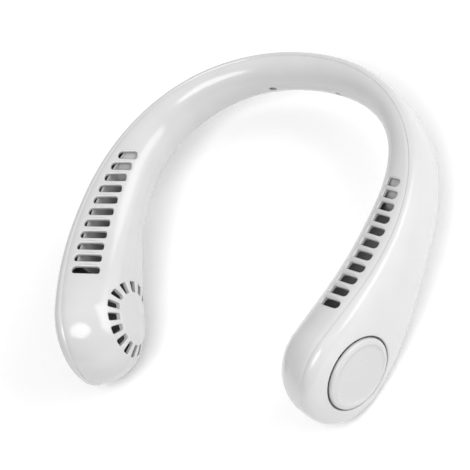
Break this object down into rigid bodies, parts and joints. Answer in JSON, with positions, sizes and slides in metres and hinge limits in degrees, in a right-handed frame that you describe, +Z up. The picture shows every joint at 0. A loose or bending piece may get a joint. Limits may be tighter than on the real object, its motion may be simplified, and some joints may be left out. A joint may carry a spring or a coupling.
{
  "type": "electric neck fan",
  "caption": "C-shaped bladeless neck fan: rigid moulded housing with air slots on both arms, a radial fan in each front pod, intake grilles, round caps and a power button.",
  "frame": {"origin": "centre of the plan, at the height of the pods' lowest point", "axes": "+X towards the right arm, +Y from the front pods to the back of the neck, +Z up as worn"},
  "size_m": [0.1992, 0.198, 0.0606],
  "materials": {
    "white_shell": "gloss injection-moulded ABS",
    "white_inner_shell": "gloss injection-moulded ABS",
    "cap": "gloss injection-moulded ABS",
    "duct_plastic": "moulded ABS",
    "foam": "closed-cell foam",
    "frame_plastic": "moulded ABS",
    "bearing_bronze": "sintered bronze",
    "stator_steel": "stamped sheet stack",
    "board": "solder-masked laminate",
    "impeller_plastic": "moulded nylon",
    "magnet": "bonded ferrite",
    "steel": "drawn, zinc-plated",
    "battery_foil": "laminated foil pouch",
    "switch_plastic": "moulded nylon",
    "led": "moulded epoxy",
    "light_plastic": "clear moulded acrylic",
    "button": "gloss injection-moulded ABS",
    "wire": "silicone insulation"
  },
  "bodies": {
    "housing": {"outer_shell": "white_shell", "inner_shell": "white_inner_shell", "left_cap": "cap", "right_cap": "cap", "left_duct_wall": "duct_plastic", "right_duct_wall": "duct_plastic", "duct_seals": "foam", "left_fan_frame": "frame_plastic", "right_fan_frame": "frame_plastic", "left_bearing": "bearing_bronze", "right_bearing": "bearing_bronze", "left_stator": "stator_steel", "right_stator": "stator_steel", "left_motor_board": "board", "right_motor_board": "board", "frame_screws": "steel", "neck_screws": "steel", "left_battery": "battery_foil", "right_battery": "battery_foil", "battery_pads": "foam", "main_board": "board", "charging_port": "steel", "push_switch": "switch_plastic", "charge_lights": "led", "light_guide": "light_plastic", "wiring": "wire"},
    "left_rotor": {"left_impeller": "impeller_plastic", "left_magnet": "magnet", "left_shaft": "steel"},
    "right_rotor": {"right_impeller": "impeller_plastic", "right_magnet": "magnet", "right_shaft": "steel"},
    "button": {"power_button": "button"}
  },
  "joints": [
    {"name": "left_impeller_spin", "type": "hinge", "parent": "housing", "child": "left_rotor", "pos_m": [-0.06821, -0.06761, 0.031], "axis": [-0.9383, -0.3459, 0], "continuous": true},
    {"name": "right_impeller_spin", "type": "hinge", "parent": "housing", "child": "right_rotor", "pos_m": [0.06821, -0.06761, 0.031], "axis": [0.9383, -0.3459, 0], "continuous": true},
    {"name": "power_button_press", "type": "slide", "parent": "housing", "child": "button", "axis": [0.999, 0.0441, 0], "range_m": [0, 0.0005], "stiffness_N_per_m": 900}
  ]
}
